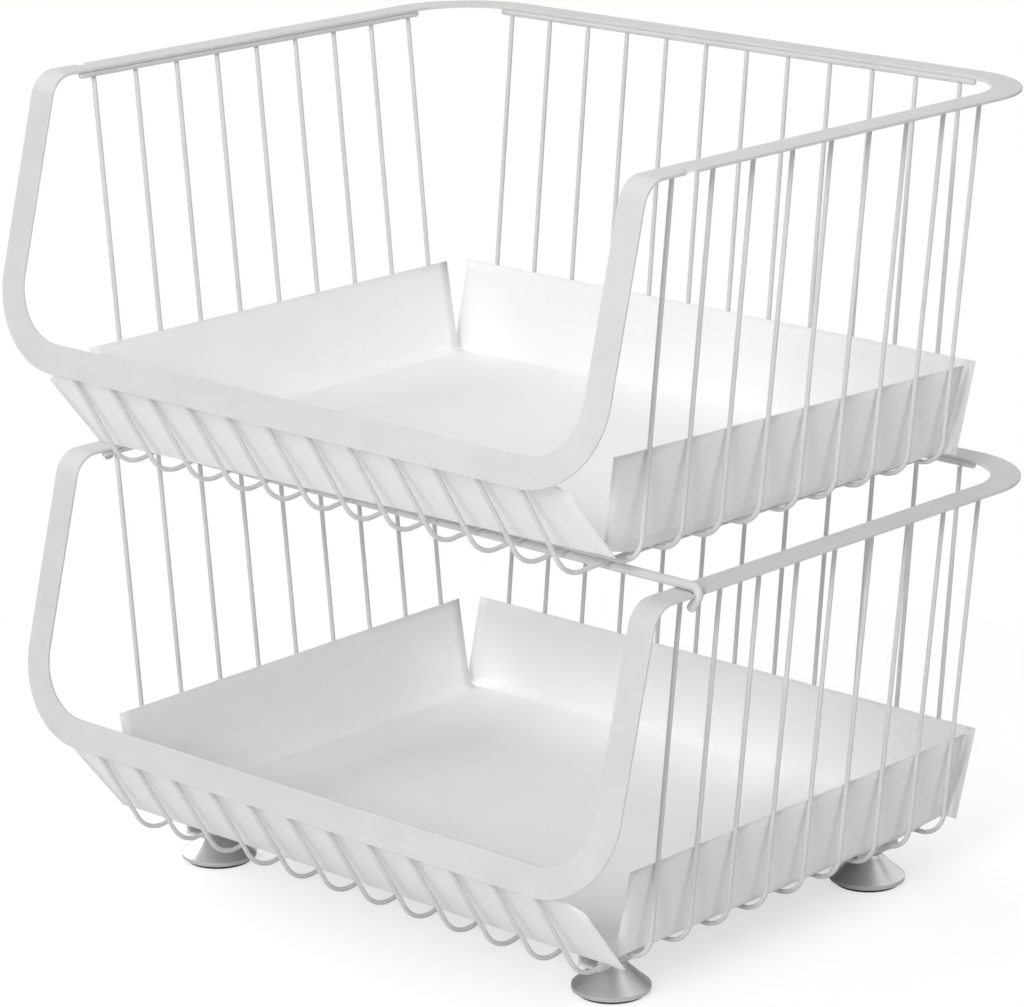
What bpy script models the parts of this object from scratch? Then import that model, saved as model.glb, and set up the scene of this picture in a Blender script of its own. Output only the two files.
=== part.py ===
"""Double basket organizer: two stacked baskets of coated steel wire, each with a folded liner.

Metres, +Z up. The floor is z = 0, x = 0 is the middle plane and y = 0 the middle of the depth.
The front faces -Y. Each basket is modelled in its own frame: z = 0 is the top of its rim, and
y = 0 the middle between its lip's lower edge and the back of its rim.
"""
import math

import bmesh
import bpy
from mathutils import Matrix, Vector

# General
gap = 0.0003                    # between pieces that are welded, seated or laid on each other
cut_overrun = 0.002             # how far a cutter runs past what it cuts
arc_step = math.radians(22)     # longest turn between two points of a bent rod
rod_resolution = 2              # eight sides on every wire and rod

# Basket as a whole
basket_width = 0.3702
basket_depth = 0.3180           # from the lip's lower edge to the back of the rim
basket_height = 0.1762          # from the rim's top to the underside of the floor's long wires

# Rim: one flat strip that runs flat round the sides and back, and drops to a lip at the front
strip_width = 0.0139
strip_thickness = 0.0014
strip_edge_round = 0.0004
back_corner_radius = 0.0470     # outer radius
lip_corner_radius = 0.0420      # outer radius, where the front posts turn into the lip
corner_segments = 10
lip_drop = 0.1291               # from the rim's top down to the lip's lower edge
lean_angle = math.radians(14.5) # the front plane leans back from the vertical
front_bend_radius = 0.0130      # outer radius where the sides turn down into the front plane
front_bend_segments = 6
notch_length = 0.0064
notch_depth = 0.0038
notch_from_back = 0.2574        # from the back of the rim to the notch's middle
notch_segments = 8

# Round bars welded under the rim
bar_diameter = 0.0030
bar_end_round = 0.0010
bar_sides = 12
bar_round_segments = 2
weld_sink = 0.0001              # how far a bar is melted into the strip
side_bar_inset = 0.0120         # from the rim's outer edge to the bar's middle
side_bar_front_overhang = 0.0104
side_bar_back_overhang = 0.0054
back_bar_inset = 0.0130
back_bar_overhang = 0.0080

# Basket wires
wire_diameter = 0.0022
cross_wire_count = 9            # they run from side to side
cross_wire_pitch = 0.0260
cross_wire_from_back = 0.0498   # from the back of the rim to the rearmost cross wire
cross_wire_outset = 0.0018      # the wires' tops stand outside the middle of the side bars
side_wall_angle = math.radians(5.65)
long_wire_count = 12            # they run from front to back
long_wire_pitch = 0.0250
long_wire_inset = 0.0013        # the wires' tops stand inside the middle of the back bar
back_wall_angle = math.radians(5.7)
bottom_bend_radius = 0.0135
front_wall_angle = math.radians(58)     # the front wires' slope from the horizontal
front_floor_setback = 0.0358    # from the lip's lower edge back to where the slope meets the floor
front_wire_bend_radius = 0.0170
# The slope runs on below the floor to a corner this much deeper, at the leftmost and rightmost wire
upper_front_dips = (0.0043, 0.0018)
lower_front_dips = (0.0053, 0.0053)
front_dip_length = 0.0248       # from that corner back to where the wires reach the floor again
dip_end_bend_radius = 0.0200
lip_wire_bend_radius = 0.0060
lip_wire_end_margin = 0.0015    # from a front wire's end to the lip's upper edge

# Liner: a thin sheet, folded up into four flaps that lean on the wires, with open corners
liner_thickness = 0.0005
liner_height = 0.0440
liner_columns = 8
liner_rows = 8
liner_side_fold_inset = 0.0113  # from the corner of the cross wires to a side fold
liner_front_fold_inset = 0.0074 # from the foot of the front wires' slope to the front fold
liner_back_fold_inset = 0.0080  # from the corner of the back wires to the back fold
crease_reach = 0.0050           # a second crease lies this far outside a side or back fold
crease_rise = 0.0022            # and this far above it
corner_slit = 0.0015            # between the front or back fold and a side flap
# How far a side flap's top edge runs past the front fold
upper_side_flap_reach = 0.0035
lower_side_flap_reach = -0.0012
side_flap_back_reach = 0.0010   # and past the back fold
# How far the back flap runs past the floor's left and right corner, at its fold and its top edge
back_flap_bottom_reaches = (0.0120, 0.0084)
back_flap_top_reaches = (0.0087, 0.0133)
front_flap_bottom_reach = 0.0125
front_flap_top_reach = 0.0145
front_flap_rise = 0.0415        # the sloping front flap's height
front_flap_end_drop = 0.0080    # its top edge falls off by this at its two ends
floor_curl_length = 0.0250      # the floor rises to its lifted front and back folds this near to them
# How far the flaps are warped up at the front left, front right, back left and back right corner
upper_liner_lifts = (0.0, 0.0065, 0.0, 0.0)
lower_liner_lifts = (0.0, 0.0010, 0.0025, 0.0030)

# Front crossbar under the upper basket, hooked into the notches of the lower rim
crossbar_diameter = 0.0042
crossbar_from_back = 0.2506     # from the back of the upper rim to the crossbar's middle
hook_bend_radius = 0.0032
hook_tail_length = 0.0130
hook_tail_angle = math.radians(35)      # the tails lean in under the rim

# Rear support under the upper basket, which rests on the back of the lower rim
rear_support_from_back = 0.0640 # from the back of the upper rim to the support's cross piece
rear_support_bend_radius = 0.0100

# Feet and the channels that carry them under the lower basket
channel_width = 0.0130
channel_length = 0.0300
channel_height = 0.0102
channel_wall = 0.0015
foot_height = 0.0129
foot_neck_radius = 0.0065
foot_radius = 0.0178
foot_lip_height = 0.0022
foot_flare_share = 1.15         # how late the bell widens
foot_profile_steps = 5
foot_sides = 24
stud_diameter = 0.0060
stud_chamfer = 0.0006
stud_top_clearance = 0.0020     # below the liner
pad_radius = 0.0155
pad_thickness = 0.0014

# Derived places in a basket's frame
half_width = basket_width / 2
back_y = basket_depth / 2
lip_y = -back_y
wire_radius = wire_diameter / 2
bar_radius = bar_diameter / 2
crossbar_radius = crossbar_diameter / 2
strip_underside = -strip_thickness
bar_z = strip_underside - bar_radius + weld_sink
wire_top = bar_z - bar_radius - gap
long_wire_bottom = wire_radius - basket_height
cross_wire_bottom = long_wire_bottom + wire_diameter + gap
liner_underside = cross_wire_bottom + wire_radius + gap

# Derived places of the whole
channel_top = cross_wire_bottom - wire_radius - gap
channel_bottom = channel_top - channel_height
foot_top = channel_bottom - gap
foot_bottom = foot_top - foot_height
pad_top = foot_bottom - gap
pad_bottom = pad_top - pad_thickness
lower_rim_height = -pad_bottom
upper_rim_height = lower_rim_height + gap + crossbar_diameter + gap + basket_height
upper_shift = notch_from_back - crossbar_from_back      # the upper basket stands further forward
crossbar_y = back_y - crossbar_from_back
crossbar_z = -basket_height - gap - crossbar_radius

up_the_front = Vector((0, math.sin(lean_angle), math.cos(lean_angle)))
front_normal = Vector((0, -math.cos(lean_angle), math.sin(lean_angle)))


def between(low, high, share):
    """The value a share of the way from one value to another."""
    return low + (high - low) * share


def side_wall_x(z):
    """Middle of the cross wires' side runs at a height in the basket's frame."""
    top = half_width - side_bar_inset + cross_wire_outset
    return top + (z - wire_top) * math.tan(side_wall_angle)


def back_wall_y(z):
    """Middle of the long wires' back runs at a height in the basket's frame."""
    top = back_y - back_bar_inset - long_wire_inset
    return top + (z - wire_top) * math.tan(back_wall_angle)


def front_slope_y(z):
    """Middle of the long wires' front runs at a height in the basket's frame."""
    corner = lip_y + front_floor_setback
    return corner - (z - long_wire_bottom) / math.tan(front_wall_angle)


def lip_run_y(z):
    """Middle of the long wires' ends, which lie along the back of the lip."""
    behind = (strip_thickness + gap + wire_radius) / math.cos(lean_angle)
    return lip_y + (z + lip_drop) * math.tan(lean_angle) + behind


def lip_bend_z():
    """Height where the long wires' front runs meet the plane behind the lip."""
    behind = lip_run_y(long_wire_bottom) - front_slope_y(long_wire_bottom)
    return long_wire_bottom - behind / (math.tan(lean_angle) + 1 / math.tan(front_wall_angle))


def material(name, color, roughness, metallic=0.0):
    """A plain Principled material."""
    result = bpy.data.materials.new(name)
    result.use_nodes = True
    shader = result.node_tree.nodes["Principled BSDF"]
    shader.inputs["Base Color"].default_value = (*color, 1)
    shader.inputs["Roughness"].default_value = roughness
    shader.inputs["Metallic"].default_value = metallic
    return result


def add_object(name, data, parent, finish=None, location=(0, 0, 0)):
    """Link an object under its parent empty."""
    result = bpy.data.objects.new(name, data)
    if finish:
        data.materials.append(finish)
    result.parent = parent
    result.location = location
    bpy.context.scene.collection.objects.link(result)
    return result


def mesh_from(bm, name, smooth_angle=math.radians(35)):
    """Turn a bmesh into a mesh with outward faces that is shaded smooth, but for its edges."""
    bmesh.ops.recalc_face_normals(bm, faces=bm.faces)
    mesh = bpy.data.meshes.new(name)
    bm.to_mesh(mesh)
    bm.free()
    mesh.shade_smooth()
    mesh.set_sharp_from_angle(angle=smooth_angle)
    return mesh


def rounded_path(points, radii):
    """A polyline through the points, with an arc of its own radius at each inner point."""
    corners = [Vector(p) for p in points]
    path = [corners[0]]
    for before, corner, after, radius in zip(corners, corners[1:], corners[2:], radii):
        back = (before - corner).normalized()
        ahead = (after - corner).normalized()
        turn = math.pi - back.angle(ahead)
        tangent = radius * math.tan(turn / 2)
        middle = corner + (back + ahead).normalized() * (radius / math.cos(turn / 2))
        start = corner + back * tangent - middle
        axis = start.cross(corner + ahead * tangent - middle).normalized()
        steps = max(2, math.ceil(turn / arc_step))
        for step in range(steps + 1):
            path.append(middle + Matrix.Rotation(turn * step / steps, 3, axis) @ start)
    path.append(corners[-1])
    return path


def add_rod(name, points, radii, radius, parent, finish):
    """A round rod along a polyline with rounded corners."""
    curve = bpy.data.curves.new(name, "CURVE")
    curve.dimensions = "3D"
    curve.bevel_depth = radius
    curve.bevel_resolution = rod_resolution
    curve.use_fill_caps = True
    path = rounded_path(points, radii)
    spline = curve.splines.new("POLY")
    spline.points.add(len(path) - 1)
    for target, point in zip(spline.points, path):
        target.co = (*point, 1)
    spline.use_smooth = True
    return add_object(name, curve, parent, finish)


def strip_section():
    """The strip's section with its edges eased: steps in from the outer edge, and heights."""
    edge = strip_edge_round
    return [(edge, 0), (strip_width - edge, 0), (strip_width, -edge),
            (strip_width, edge - strip_thickness), (strip_width - edge, -strip_thickness),
            (edge, -strip_thickness), (0, edge - strip_thickness), (0, -edge)]


def strip_stations():
    """Places along the right half of the strip, from the lip to the back.

    Each is the outer edge's point, the direction across the strip and the face's normal.
    """
    stations = []
    lip_corner = Vector((half_width - lip_corner_radius, lip_y, -lip_drop))
    middle = lip_corner + up_the_front * lip_corner_radius
    for step in range(corner_segments + 1):
        angle = math.pi / 2 * step / corner_segments
        out = Vector((math.sin(angle), 0, 0)) - up_the_front * math.cos(angle)
        stations.append((middle + out * lip_corner_radius, -out, front_normal))
    rise = (lip_drop - front_bend_radius) * math.sin(lean_angle) + front_bend_radius
    bend_y = lip_y + rise / math.cos(lean_angle)
    middle = Vector((half_width, bend_y, -front_bend_radius))
    for step in range(front_bend_segments + 1):
        angle = between(lean_angle, math.pi / 2, step / front_bend_segments)
        normal = Vector((0, -math.cos(angle), math.sin(angle)))
        stations.append((middle + normal * front_bend_radius, Vector((-1, 0, 0)), normal))
    middle = Vector((half_width - back_corner_radius, back_y - back_corner_radius, 0))
    for step in range(corner_segments + 1):
        angle = math.pi / 2 * step / corner_segments
        out = Vector((math.cos(angle), math.sin(angle), 0))
        stations.append((middle + out * back_corner_radius, -out, Vector((0, 0, 1))))
    return stations


def strip_mesh():
    """The whole strip, closed round the rim."""
    right = strip_stations()
    flip = Matrix.Scale(-1, 3, Vector((1, 0, 0)))
    left = [tuple(flip @ v for v in station) for station in reversed(right)]
    bm = bmesh.new()
    rings = []
    for point, across, normal in right + left:
        rings.append([bm.verts.new(point + across * step + normal * height)
                      for step, height in strip_section()])
    for ring, following in zip(rings, rings[1:] + rings[:1]):
        for i in range(len(ring)):
            j = (i + 1) % len(ring)
            bm.faces.new((ring[i], ring[j], following[j], following[i]))
    return mesh_from(bm, "strip")


def bar_mesh(length):
    """A round bar along X with eased ends."""
    bm = bmesh.new()
    bmesh.ops.create_cone(bm, cap_ends=True, segments=bar_sides, radius1=bar_radius,
                          radius2=bar_radius, depth=length)
    ends = [edge for edge in bm.edges if len({round(v.co.z, 6) for v in edge.verts}) == 1]
    bmesh.ops.bevel(bm, geom=ends, offset=bar_end_round, segments=bar_round_segments,
                    profile=0.5, affect="EDGES")
    bm.transform(Matrix.Rotation(math.pi / 2, 4, "Y"))
    return mesh_from(bm, "bar")


def notch_mesh():
    """A cutter with a round inner end, which opens towards +X from the rim's edge."""
    radius = notch_length / 2
    outline = [(cut_overrun, -radius), (cut_overrun, radius)]
    for step in range(notch_segments + 1):
        angle = math.pi / 2 + math.pi * step / notch_segments
        outline.append((radius - notch_depth + radius * math.cos(angle), radius * math.sin(angle)))
    bm = bmesh.new()
    bottom = [bm.verts.new((x, y, -strip_thickness - cut_overrun)) for x, y in outline]
    face = bm.faces.new(bottom)
    grown = bmesh.ops.extrude_face_region(bm, geom=[face])
    moved = [item for item in grown["geom"] if isinstance(item, bmesh.types.BMVert)]
    bmesh.ops.translate(bm, verts=moved, vec=(0, 0, strip_thickness + cut_overrun + cut_overrun))
    return mesh_from(bm, "notch")


def cross_wire_ys():
    """Places of the cross wires, from the front to the back."""
    rear = back_y - cross_wire_from_back
    return [rear - cross_wire_pitch * i for i in reversed(range(cross_wire_count))]


def long_wire_xs():
    """Places of the long wires, from left to right."""
    middle = (long_wire_count - 1) / 2
    return [long_wire_pitch * (i - middle) for i in range(long_wire_count)]


def add_rim(name, parent, finish):
    """The strip with its three bars welded under it and its two notches cut out."""
    rim = add_object(name, strip_mesh(), parent, finish)
    ys = cross_wire_ys()
    xs = long_wire_xs()
    front_end = ys[0] - side_bar_front_overhang
    back_end = ys[-1] + side_bar_back_overhang
    side_x = half_width - side_bar_inset
    back_length = xs[-1] - xs[0] + back_bar_overhang + back_bar_overhang
    side = bar_mesh(back_end - front_end)
    middle_y = (front_end + back_end) / 2
    helpers = [("back_bar", bar_mesh(back_length), (0, back_y - back_bar_inset, bar_z), 0)]
    for hand, sign in (("left", -1), ("right", 1)):
        helpers.append((f"{hand}_bar", side, (sign * side_x, middle_y, bar_z), math.pi / 2))
    for suffix, data, place, turn in helpers:
        bar = add_object(f"{name}_{suffix}", data, parent, location=place)
        bar.rotation_euler.z = turn
        combine(rim, bar, "UNION")
    for hand, sign in (("left", -1), ("right", 1)):
        place = (sign * half_width, back_y - notch_from_back, 0)
        cutter = add_object(f"{name}_{hand}_notch", notch_mesh(), parent, location=place)
        cutter.rotation_euler.z = 0 if sign > 0 else math.pi
        combine(rim, cutter, "DIFFERENCE")
    return rim


def combine(target, helper, operation):
    """Join or cut one object with a hidden helper."""
    helper.hide_render = True
    helper.display_type = "WIRE"
    modifier = target.modifiers.new(helper.name, "BOOLEAN")
    modifier.object = helper
    modifier.operation = operation
    modifier.solver = "EXACT"


def add_cross_wire(name, y, parent, finish):
    """A wire down one side, under the floor and up the other side."""
    top = side_wall_x(wire_top)
    low = side_wall_x(cross_wire_bottom)
    points = [(-top, y, wire_top), (-low, y, cross_wire_bottom),
              (low, y, cross_wire_bottom), (top, y, wire_top)]
    radii = (bottom_bend_radius, bottom_bend_radius)
    add_rod(name, points, radii, wire_radius, parent, finish)


def add_long_wire(name, x, dip, parent, finish):
    """A wire from the back of the lip down the front slope, under the floor and up the back."""
    bend_z = lip_bend_z()
    end_z = (strip_width - lip_wire_end_margin) * math.cos(lean_angle) - lip_drop
    dip_y = front_slope_y(long_wire_bottom - dip)
    points = [(x, lip_run_y(end_z), end_z), (x, lip_run_y(bend_z), bend_z),
              (x, dip_y, long_wire_bottom - dip),
              (x, dip_y + front_dip_length, long_wire_bottom),
              (x, back_wall_y(long_wire_bottom), long_wire_bottom),
              (x, back_wall_y(wire_top), wire_top)]
    radii = (lip_wire_bend_radius, front_wire_bend_radius, dip_end_bend_radius,
             bottom_bend_radius)
    add_rod(name, points, radii, wire_radius, parent, finish)


class LinerShape:
    """Places on one liner's outer face, with its warp.

    A share across goes from the left fold to the right one, a share along from the front end
    of the side flaps to their back end.
    """

    def __init__(self, lifts, side_reach):
        self.lifts = lifts
        self.side_reach = side_reach
        self.half = side_wall_x(cross_wire_bottom) - liner_side_fold_inset
        self.front = front_slope_y(long_wire_bottom) + liner_front_fold_inset
        self.back = back_wall_y(long_wire_bottom) - liner_back_fold_inset
        self.clear = wire_radius + gap

    def lift(self, across, along):
        """Warp of the flaps."""
        front_left, front_right, back_left, back_right = self.lifts
        front = between(front_left, front_right, across)
        return between(front, between(back_left, back_right, across), along)

    def floor(self, across, y):
        """A point of the floor, which rises to its front and back folds."""
        front_share = max(0, 1 - (y - self.front) / floor_curl_length)
        back_share = max(0, 1 - (self.back - y) / floor_curl_length)
        rise = self.lift(across, 0) * front_share + self.lift(across, 1) * back_share
        return Vector((between(-self.half, self.half, across), y, liner_underside + rise))

    def side_rows(self, sign, along, y):
        """The second crease and the top edge of a side flap."""
        rise = self.lift(0 if sign < 0 else 1, along)
        crease_x = sign * (self.half + crease_reach)
        top_z = liner_underside + liner_height + rise
        top_x = side_wall_x(top_z) - self.clear / math.cos(side_wall_angle)
        top_y = between(self.front - self.side_reach, self.back + side_flap_back_reach, along)
        return [Vector((crease_x, y, liner_underside + crease_rise + rise)),
                Vector((sign * top_x, top_y, top_z))]

    def back_rows(self, across, overhang):
        """The fold, the second crease and the top edge of the back flap.

        An overhang of -1 or 1 stands for the flap's left or right end, which has no crease.
        """
        hand = 0 if across < 0.5 else 1
        bottom_reach = back_flap_bottom_reaches[hand]
        base = self.floor(across, self.back)
        base.x += overhang * bottom_reach
        top_z = base.z + liner_height
        top_y = back_wall_y(top_z) - self.clear / math.cos(back_wall_angle)
        widened = (self.half + back_flap_top_reaches[hand]) / (self.half + bottom_reach)
        crease = base + Vector((0, crease_reach, crease_rise))
        top = Vector((base.x * widened, top_y, top_z))
        if overhang:
            lean = (top_y - crease.y) / (top_z - crease.z)
            base.y = crease.y - crease_rise * lean
            crease = base.lerp(top, crease_rise / liner_height)
        return [base, crease, top]

    def front_rows(self, across, overhang):
        """The fold and the top edge of the front flap, with the same overhang."""
        base = self.floor(across, self.front)
        base.x += overhang * front_flap_bottom_reach
        top_z = base.z + front_flap_rise
        slope_y = front_slope_y(top_z) + self.clear / math.sin(front_wall_angle)
        run_y = lip_run_y(top_z) + self.clear / math.cos(lean_angle)
        up = Vector((0, max(slope_y, run_y) - base.y, front_flap_rise))
        top = base + up * (1 - abs(overhang) * front_flap_end_drop / front_flap_rise)
        widened = (self.half + front_flap_top_reach) / (self.half + front_flap_bottom_reach)
        top.x = base.x * widened
        return [base, top]


def liner_mesh(name, lifts, side_reach):
    """The sheet's outer face: a floor and four flaps that meet it at their folds."""
    shape = LinerShape(lifts, side_reach)
    columns = [i / liner_columns for i in range(liner_columns + 1)]
    shares = [i / liner_rows for i in range(liner_rows + 1)]
    ys = [between(shape.front + corner_slit, shape.back - corner_slit, share) for share in shares]
    bm = bmesh.new()
    floor = [[bm.verts.new(shape.floor(u, y)) for u in columns]
             for y in [shape.front] + ys + [shape.back]]

    def skin(strips):
        for strip, following in zip(strips, strips[1:]):
            for a, b, c, d in zip(strip, strip[1:], following[1:], following):
                bm.faces.new((a, b, c, d))

    skin(floor)
    for sign, column in ((-1, 0), (1, -1)):
        strips = []
        for share, y, line in zip(shares, ys, floor[1:-1]):
            rows = shape.side_rows(sign, share, y)
            strips.append([line[column]] + [bm.verts.new(point) for point in rows])
        skin(strips)
    for rows_at, line in ((shape.front_rows, floor[0]), (shape.back_rows, floor[-1])):
        strips = [[bm.verts.new(point) for point in rows_at(0, -1)]]
        for u, vert in zip(columns, line):
            strips.append([vert] + [bm.verts.new(point) for point in rows_at(u, 0)[1:]])
        strips.append([bm.verts.new(point) for point in rows_at(1, 1)])
        skin(strips)
    bmesh.ops.recalc_face_normals(bm, faces=bm.faces)
    middle = floor[len(floor) // 2][len(columns) // 2].link_faces[0]
    if middle.normal.z < 0:
        bmesh.ops.reverse_faces(bm, faces=bm.faces)
    mesh = bpy.data.meshes.new(name)
    bm.to_mesh(mesh)
    bm.free()
    return mesh


def add_liner(name, lifts, side_reach, parent, finish):
    """The sheet, thickened inwards."""
    liner = add_object(name, liner_mesh(name, lifts, side_reach), parent, finish)
    solidify = liner.modifiers.new("thickness", "SOLIDIFY")
    solidify.thickness = liner_thickness
    solidify.offset = 1
    solidify.use_even_offset = True
    return liner


def add_basket(prefix, body, dips, lifts, side_reach, coat, sheet):
    """A rim, its wires and its liner."""
    add_rim(f"{prefix}_rim", body, coat)
    for i, y in enumerate(cross_wire_ys(), 1):
        add_cross_wire(f"{prefix}_cross_wire_{i:02d}", y, body, coat)
    xs = long_wire_xs()
    for i, x in enumerate(xs, 1):
        dip = between(*dips, (x - xs[0]) / (xs[-1] - xs[0]))
        add_long_wire(f"{prefix}_long_wire_{i:02d}", x, dip, body, coat)
    add_liner(f"{prefix}_liner", lifts, side_reach, body, sheet)


def add_crossbar(body, finish):
    """The rod under the upper basket, whose ends hook through the notches of the lower rim."""
    bend_x = half_width - notch_depth
    turn = math.pi / 2 + hook_tail_angle
    corner_x = bend_x + hook_bend_radius * math.tan(turn / 2)
    tail_x = corner_x - hook_tail_length * math.sin(hook_tail_angle)
    tail_z = crossbar_z - hook_tail_length * math.cos(hook_tail_angle)
    y = crossbar_y
    points = [(-tail_x, y, tail_z), (-corner_x, y, crossbar_z),
              (corner_x, y, crossbar_z), (tail_x, y, tail_z)]
    radii = (hook_bend_radius, hook_bend_radius)
    add_rod("upper_crossbar", points, radii, crossbar_radius, body, finish)


def add_rear_support(body, finish):
    """A bent rod under the upper basket, whose two arms reach back onto the lower rim."""
    x = long_wire_xs()[-2]
    front = back_y - rear_support_from_back
    end = back_y + upper_shift - strip_width / 2
    points = [(-x, end, crossbar_z), (-x, front, crossbar_z),
              (x, front, crossbar_z), (x, end, crossbar_z)]
    radii = (rear_support_bend_radius, rear_support_bend_radius)
    add_rod("upper_rear_support", points, radii, crossbar_radius, body, finish)


def foot_places():
    """Middles of the four feet, each between the outermost wires."""
    xs = long_wire_xs()
    ys = cross_wire_ys()
    x = (xs[-1] + xs[-2]) / 2
    front = (ys[0] + ys[1]) / 2
    back = (ys[-1] + ys[-2]) / 2
    return {"front_left": (-x, front), "front_right": (x, front),
            "back_left": (-x, back), "back_right": (x, back)}


def channel_mesh():
    """A U channel along Y, open upwards, with its middle at the origin's height."""
    half = channel_width / 2
    outline = [(-half, 0), (half, 0), (half, channel_height), (half - channel_wall, channel_height),
               (half - channel_wall, channel_wall), (channel_wall - half, channel_wall),
               (channel_wall - half, channel_height), (-half, channel_height)]
    bm = bmesh.new()
    face = bm.faces.new([bm.verts.new((x, -channel_length / 2, z)) for x, z in outline])
    grown = bmesh.ops.extrude_face_region(bm, geom=[face])
    moved = [item for item in grown["geom"] if isinstance(item, bmesh.types.BMVert)]
    bmesh.ops.translate(bm, verts=moved, vec=(0, channel_length, 0))
    return mesh_from(bm, "channel")


def turned_mesh(name, profile, sides):
    """A solid turned round Z from a profile that starts and ends on the axis."""
    bm = bmesh.new()
    verts = [bm.verts.new((r, 0, z)) for r, z in profile]
    edges = [bm.edges.new(pair) for pair in zip(verts, verts[1:])]
    bmesh.ops.spin(bm, geom=verts + edges, cent=(0, 0, 0), axis=(0, 0, 1),
                   angle=math.tau, steps=sides, use_duplicate=False)
    bmesh.ops.remove_doubles(bm, verts=bm.verts, dist=gap / 10)
    return mesh_from(bm, name)


def foot_profile():
    """The bell of the foot and its stud, from the top of the stud down, from the foot's top."""
    stud_radius = stud_diameter / 2
    stud_top = liner_underside - stud_top_clearance - foot_top
    profile = [(0, stud_top), (stud_radius - stud_chamfer, stud_top),
               (stud_radius, stud_top - stud_chamfer), (stud_radius, 0)]
    bell_height = foot_height - foot_lip_height
    for step in range(foot_profile_steps + 1):
        share = step / foot_profile_steps
        radius = between(foot_neck_radius, foot_radius, share ** foot_flare_share)
        profile.append((radius, -bell_height * share))
    profile.append((foot_radius, -foot_height))
    profile.append((0, -foot_height))
    return profile


def add_feet(body, coat, metal, rubber):
    """Four channels, each with its screwed foot and the foot's pad."""
    foot = turned_mesh("foot", foot_profile(), foot_sides)
    pad_profile = [(0, 0), (pad_radius, 0), (pad_radius, -pad_thickness), (0, -pad_thickness)]
    pad = turned_mesh("pad", pad_profile, foot_sides)
    for corner, (x, y) in foot_places().items():
        channel = add_object(f"{corner}_channel", channel_mesh(), body, coat,
                             (x, y, channel_bottom))
        hole = add_hole(f"{corner}_stud_hole", body, (x, y, channel_bottom))
        combine(channel, hole, "DIFFERENCE")
        turning = add_object(f"{corner}_foot_axis", None, body, location=(x, y, foot_top))
        add_object(f"{corner}_foot", foot.copy(), turning, metal)
        add_object(f"{corner}_pad", pad.copy(), turning, rubber, (0, 0, pad_top - foot_top))


def add_hole(name, body, place):
    """A round cutter for the stud's hole in a channel."""
    bm = bmesh.new()
    depth = channel_wall + cut_overrun + cut_overrun
    radius = stud_diameter / 2 + gap
    bmesh.ops.create_cone(bm, cap_ends=True, segments=foot_sides, radius1=radius, radius2=radius,
                          depth=depth)
    bmesh.ops.translate(bm, verts=bm.verts, vec=(0, 0, channel_wall / 2))
    return add_object(name, mesh_from(bm, "stud_hole"), body, location=place)


def build():
    """Both baskets, one above the other."""
    for old in list(bpy.data.objects):
        bpy.data.objects.remove(old)
    coat = material("white_coated_steel", (0.80, 0.80, 0.80), 0.42)
    sheet = material("white_sheet", (0.86, 0.86, 0.86), 0.60)
    metal = material("satin_nickel", (0.62, 0.62, 0.61), 0.28, 1.0)
    rubber = material("dark_rubber", (0.06, 0.06, 0.06), 0.80)
    half_shift = upper_shift / 2
    lower = add_object("lower_basket", None, None, location=(0, half_shift, lower_rim_height))
    upper = add_object("upper_basket", None, None, location=(0, -half_shift, upper_rim_height))
    add_basket("lower", lower, lower_front_dips, lower_liner_lifts, lower_side_flap_reach,
               coat, sheet)
    add_basket("upper", upper, upper_front_dips, upper_liner_lifts, upper_side_flap_reach,
               coat, sheet)
    add_crossbar(upper, coat)
    add_rear_support(upper, coat)
    add_feet(lower, coat, metal, rubber)


build()
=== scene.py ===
"""Dress of the double basket organizer: finer shapes, finishes, soft light and the camera.

Metres, +Z up, the front faces -Y. The named sizes are those of the solids that the pieces
stand for. Each basket is drawn in its own frame: z = 0 is the top of its rim.
"""

import math

import bmesh
import bpy
from mathutils import Matrix, Vector


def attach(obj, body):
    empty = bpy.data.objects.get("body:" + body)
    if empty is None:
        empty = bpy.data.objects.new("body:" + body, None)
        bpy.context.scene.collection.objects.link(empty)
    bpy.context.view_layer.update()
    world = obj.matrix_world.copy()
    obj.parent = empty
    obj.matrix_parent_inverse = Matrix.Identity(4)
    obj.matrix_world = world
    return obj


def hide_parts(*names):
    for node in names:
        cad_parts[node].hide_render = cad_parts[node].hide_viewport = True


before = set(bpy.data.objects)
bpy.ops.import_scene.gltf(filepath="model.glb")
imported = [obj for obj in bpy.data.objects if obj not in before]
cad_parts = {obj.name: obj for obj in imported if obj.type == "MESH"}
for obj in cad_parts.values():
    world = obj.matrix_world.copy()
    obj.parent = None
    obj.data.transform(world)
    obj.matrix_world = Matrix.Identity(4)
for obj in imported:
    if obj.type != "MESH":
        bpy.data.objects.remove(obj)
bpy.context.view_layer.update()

# General
gap = 0.0003
arc_step = math.radians(6)      # longest turn between two points of a bent rod
rod_resolution = 6              # sixteen sides on every wire and rod
round_steps = 4                 # segments of a small eased edge
crisp_angle = math.radians(40)  # an edge that turns by more than this stays sharp
blob_angle = math.radians(80)   # the same for the coarse weld beads
merge_distance = 0.00001        # points of a turned shape that lie closer become one

# Basket as a whole
basket_width = 0.3702
basket_depth = 0.3180
basket_height = 0.1762

# Rim
strip_width = 0.0139
strip_thickness = 0.0014
strip_edge_round = 0.0004
back_corner_radius = 0.0470
lip_corner_radius = 0.0420
corner_segments = 40
lip_drop = 0.1291
lean_angle = math.radians(14.5)
front_bend_radius = 0.0130
front_bend_segments = 20
notch_length = 0.0064
notch_depth = 0.0038
notch_from_back = 0.2574
notch_segments = 24
flat_face_weight = 90           # how much the strip's broad faces set its shading

# Bars under the rim
bar_diameter = 0.0030
bar_sides = 24
weld_sink = 0.0001
side_bar_inset = 0.0120
side_bar_front_overhang = 0.0104
side_bar_back_overhang = 0.0054
back_bar_inset = 0.0130
back_bar_overhang = 0.0080

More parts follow.
